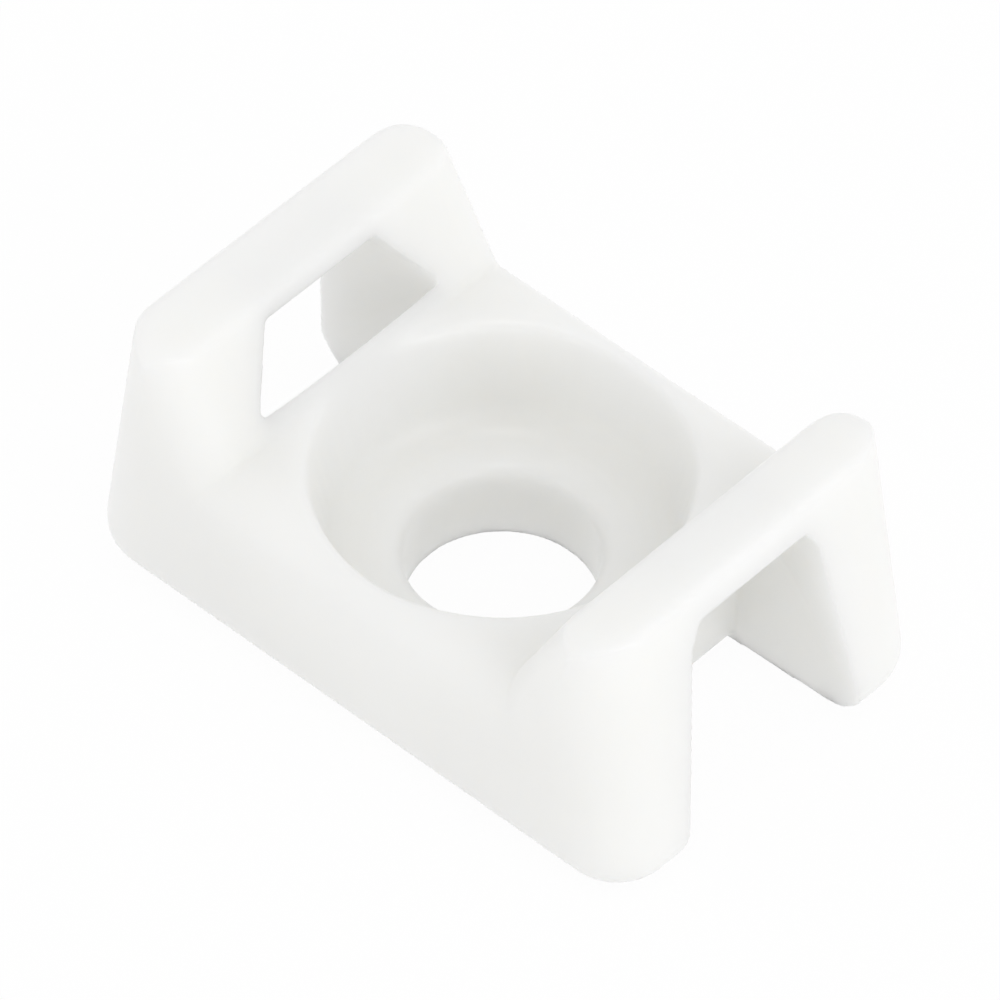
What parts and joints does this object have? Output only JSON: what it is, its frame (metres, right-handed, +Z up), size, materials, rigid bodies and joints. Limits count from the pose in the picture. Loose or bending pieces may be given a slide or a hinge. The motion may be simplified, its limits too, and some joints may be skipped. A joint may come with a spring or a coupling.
{
  "type": "cable tie mount",
  "caption": "Screw-down saddle mount for cable ties: two raised end bars over tie windows, with a bowl for the screw head between them.",
  "frame": {"origin": "centre of the flat base, on the face that is screwed down", "axes": "+X along the length from bar to bar, +Y across the saddle, +Z up along the screw axis"},
  "size_m": [0.0228, 0.014, 0.0102],
  "materials": {
    "nylon": "natural white nylon 66, satin as moulded"
  },
  "bodies": {
    "root": {"saddle_mount": "nylon"}
  },
  "joints": []
}
